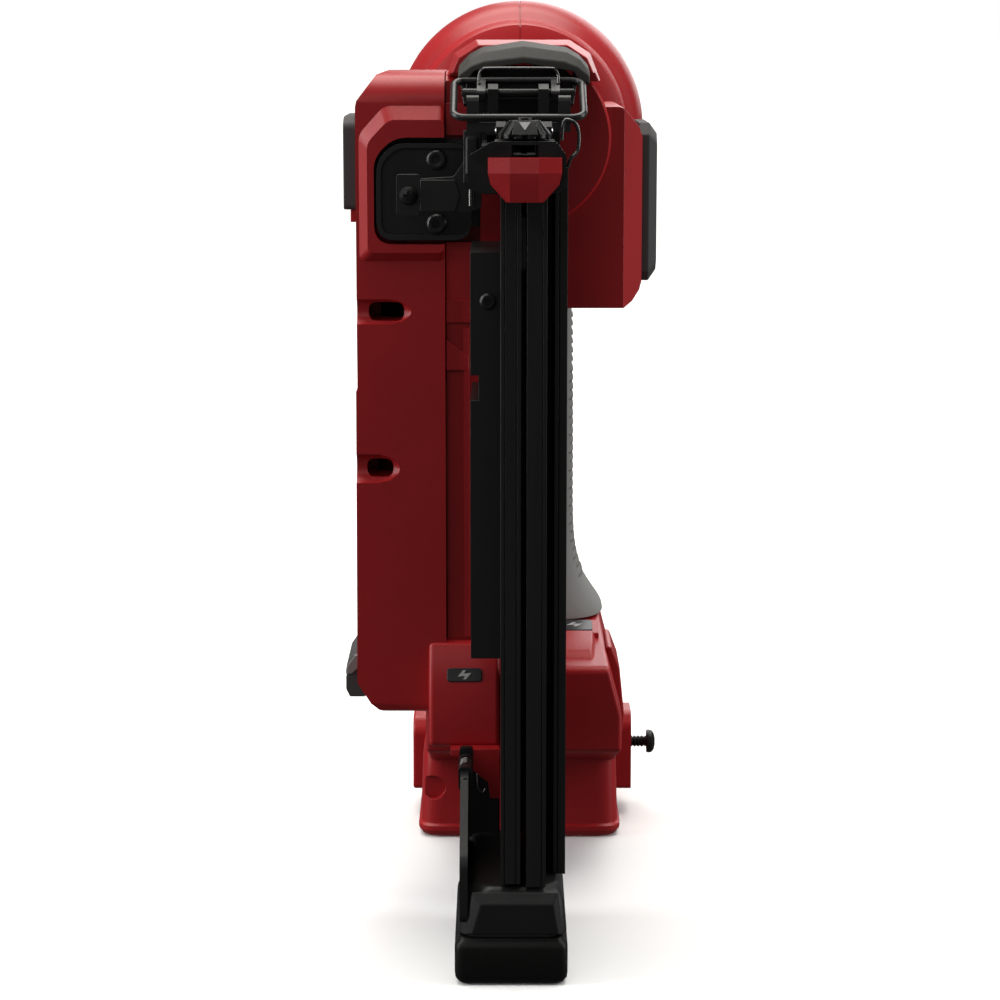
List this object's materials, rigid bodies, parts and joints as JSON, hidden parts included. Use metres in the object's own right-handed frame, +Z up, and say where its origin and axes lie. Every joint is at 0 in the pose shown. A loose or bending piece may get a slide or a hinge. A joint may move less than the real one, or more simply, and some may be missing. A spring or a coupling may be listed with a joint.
{
  "type": "cordless brad nailer",
  "caption": "Cordless brad nailer with an in-line magazine, upright motor housing, sprung contact nose, jam door with bail latch, trigger and battery foot.",
  "frame": {"origin": "centre of the battery foot's underside, on the plane of the driver blade", "axes": "+Z up along the handle, -Y towards the nose along the drive line, +X to the right seen from the nose"},
  "size_m": [0.1145, 0.2926, 0.3136],
  "materials": {
    "red_plastic": "moulded, fine satin texture",
    "black_plastic": "moulded, satin",
    "grip_rubber": "soft overmould, fine texture",
    "black_rubber": "matte",
    "black_metal": "black coating, satin",
    "black_aluminium": "black anodised extrusion, satin",
    "dark_steel": "black oxide",
    "steel": "ground and bright",
    "aluminium": "cast",
    "copper": "wound and lacquered",
    "lens": "clear moulding over dark",
    "board": "solder mask"
  },
  "bodies": {
    "frame": {"housing_left": "red_plastic", "housing_right": "red_plastic", "column_cover": "red_plastic", "foot_housing": "red_plastic", "head_cap": "red_plastic", "grip": "grip_rubber", "bumper_right": "black_rubber", "bumper_left_upper": "black_rubber", "bumper_left_lower": "black_rubber", "battery_terminal_block": "black_plastic", "light_lens": "lens", "controller_board": "board", "belt_hook_screw": "dark_steel", "trigger_pin": "steel", "trigger_switch": "black_plastic", "trigger_spring": "steel", "cylinder": "aluminium", "air_tank": "aluminium", "cylinder_bumper": "black_rubber", "lifter_bearing_lower": "steel", "lifter_bearing_upper": "steel", "gear_case": "aluminium", "gear_case_cover": "black_metal", "gearbox": "black_aluminium", "motor_stator": "copper", "motor_bearing": "steel", "nosepiece": "dark_steel", "jam_door_pin": "steel", "latch_pin": "steel", "magazine_rail": "black_aluminium", "rail_screw": "dark_steel", "case_screw_upper": "dark_steel", "case_screw_lower": "dark_steel", "contact_spring": "steel", "pusher_spring": "steel"},
    "driver": {"driver_blade": "steel", "piston": "aluminium", "piston_seal": "black_rubber"},
    "lifter": {"lifter_wheel": "steel", "lifter_shaft": "steel"},
    "rotor": {"motor_rotor": "steel", "motor_fan": "black_plastic"},
    "trigger": {"trigger": "red_plastic"},
    "mode_button": {"mode_button": "black_plastic"},
    "contact": {"contact_foot": "dark_steel", "no_mar_tip": "red_plastic", "contact_linkage_arm": "black_metal", "linkage_screw": "dark_steel"},
    "depth_wheel": {"depth_wheel": "black_plastic"},
    "latch_lever": {"jam_latch_lever": "grip_rubber"},
    "latch_bail": {"latch_bail": "steel"},
    "jam_door": {"jam_door": "black_metal"},
    "magazine_slider": {"magazine_cover": "black_aluminium", "magazine_end_cap": "black_plastic", "magazine_foot": "black_rubber", "magazine_latch_pin": "steel", "magazine_latch_spring": "steel"},
    "magazine_latch": {"magazine_latch": "black_plastic"},
    "pusher": {"pusher": "dark_steel"}
  },
  "joints": [
    {"name": "driver_stroke", "type": "slide", "parent": "frame", "child": "driver", "axis": [0, -1, 0], "range_m": [0, 0.076]},
    {"name": "lifter_spin", "type": "hinge", "parent": "frame", "child": "lifter", "pos_m": [-0.0275, -0.104, 0.238], "axis": [0, 0, 1], "range_deg": [-242.5, 0.5]},
    {"name": "rotor_spin", "type": "hinge", "parent": "frame", "child": "rotor", "pos_m": [-0.0275, -0.104, 0.15], "axis": [0, 0, 1], "range_deg": [-2180, 1]},
    {"name": "trigger_pull", "type": "hinge", "parent": "frame", "child": "trigger", "pos_m": [0, -0.03, 0.21], "axis": [1, 0, 0], "range_deg": [0, 8], "stiffness_Nm_per_rad": 0.6, "springref_deg": -8.02, "deforming": ["trigger_spring"]},
    {"name": "mode_button_press", "type": "slide", "parent": "frame", "child": "mode_button", "axis": [0, 1, 0], "range_m": [0, 0.0008], "stiffness_N_per_m": 1500, "springref_m": -0.0006},
    {"name": "contact_press", "type": "slide", "parent": "frame", "child": "contact", "axis": [0, 1, 0], "range_m": [0, 0.008], "stiffness_N_per_m": 700, "springref_m": -0.004, "deforming": ["contact_spring"]},
    {"name": "depth_wheel_turn", "type": "hinge", "parent": "contact", "child": "depth_wheel", "pos_m": [0, -0.218, 0.273], "axis": [0, 0, 1], "range_deg": [-720, 720]},
    {"name": "latch_lever_lift", "type": "hinge", "parent": "frame", "child": "latch_lever", "pos_m": [0, -0.17, 0.2832], "axis": [1, 0, 0], "range_deg": [0, 70]},
    {"name": "latch_bail_swing", "type": "hinge", "parent": "latch_lever", "child": "latch_bail", "pos_m": [0, -0.166, 0.287], "axis": [1, 0, 0], "range_deg": [-99, 1]},
    {"name": "jam_door_open", "type": "hinge", "parent": "frame", "child": "jam_door", "pos_m": [0, -0.194, 0.2723], "axis": [1, 0, 0], "range_deg": [-0.5, 35.5]},
    {"name": "magazine_slide", "type": "slide", "parent": "frame", "child": "magazine_slider", "axis": [0, 0, -1], "range_m": [0, 0.14]},
    {"name": "magazine_latch_press", "type": "hinge", "parent": "magazine_slider", "child": "magazine_latch", "pos_m": [-0.0188, -0.16, 0.06], "axis": [0, -1, 0], "range_deg": [0, 8], "stiffness_Nm_per_rad": 0.15, "springref_deg": -11.46},
    {"name": "pusher_travel", "type": "slide", "parent": "frame", "child": "pusher", "axis": [0, 0, -1], "range_m": [0, 0.17], "stiffness_N_per_m": 12, "springref_m": -0.2}
  ],
  "couplings": [
    {"joint": "lifter_spin", "follows": "driver_stroke", "rad_per_m": -55.556},
    {"joint": "rotor_spin", "follows": "driver_stroke", "rad_per_m": -500},
    {"joint": "latch_bail_swing", "follows": "latch_lever_lift", "ratio": -1.4},
    {"joint": "jam_door_open", "follows": "latch_lever_lift", "ratio": 0.5}
  ]
}
